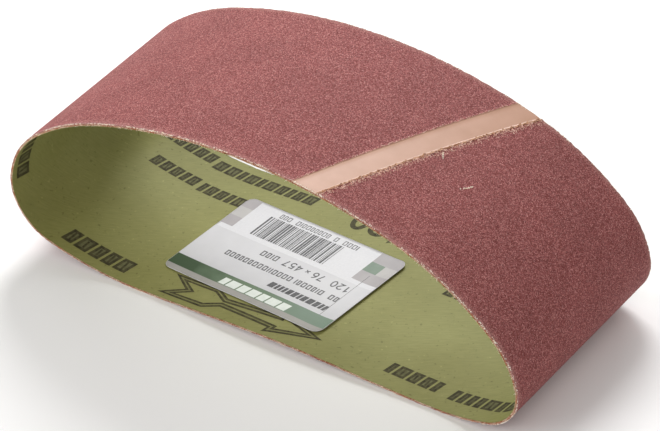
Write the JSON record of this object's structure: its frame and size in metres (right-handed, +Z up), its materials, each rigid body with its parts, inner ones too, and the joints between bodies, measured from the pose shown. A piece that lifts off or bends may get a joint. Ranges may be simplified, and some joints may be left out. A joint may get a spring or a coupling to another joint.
{
  "type": "sanding belt",
  "caption": "Endless abrasive sanding belt lying as a loose loop: cloth backing, grain outside, green finish and a paper label inside, diagonal taped splice.",
  "frame": {"origin": "middle of the footprint, on the floor under the flat run", "axes": "+X along the lying loop, +Y across the belt's width away from the front edge, +Z up"},
  "size_m": [0.2002, 0.076, 0.0714],
  "materials": {
    "back_coat": "matt olive green finish on cloth",
    "cloth_backing": "tan cotton twill",
    "make_coat": "red-brown resin",
    "abrasive_grain": "rough red-brown aluminium oxide grain",
    "splice_adhesive": "dark amber glue",
    "splice_tape": "smooth tan film",
    "label_adhesive": "clear pressure-sensitive glue",
    "label_paper": "semi-gloss white label paper"
  },
  "bodies": {
    "root": {"back_coat": "back_coat", "cloth_backing": "cloth_backing", "make_coat": "make_coat", "abrasive_grain": "abrasive_grain", "splice_adhesive": "splice_adhesive", "splice_tape": "splice_tape", "label_adhesive": "label_adhesive", "label_paper": "label_paper"}
  },
  "joints": []
}
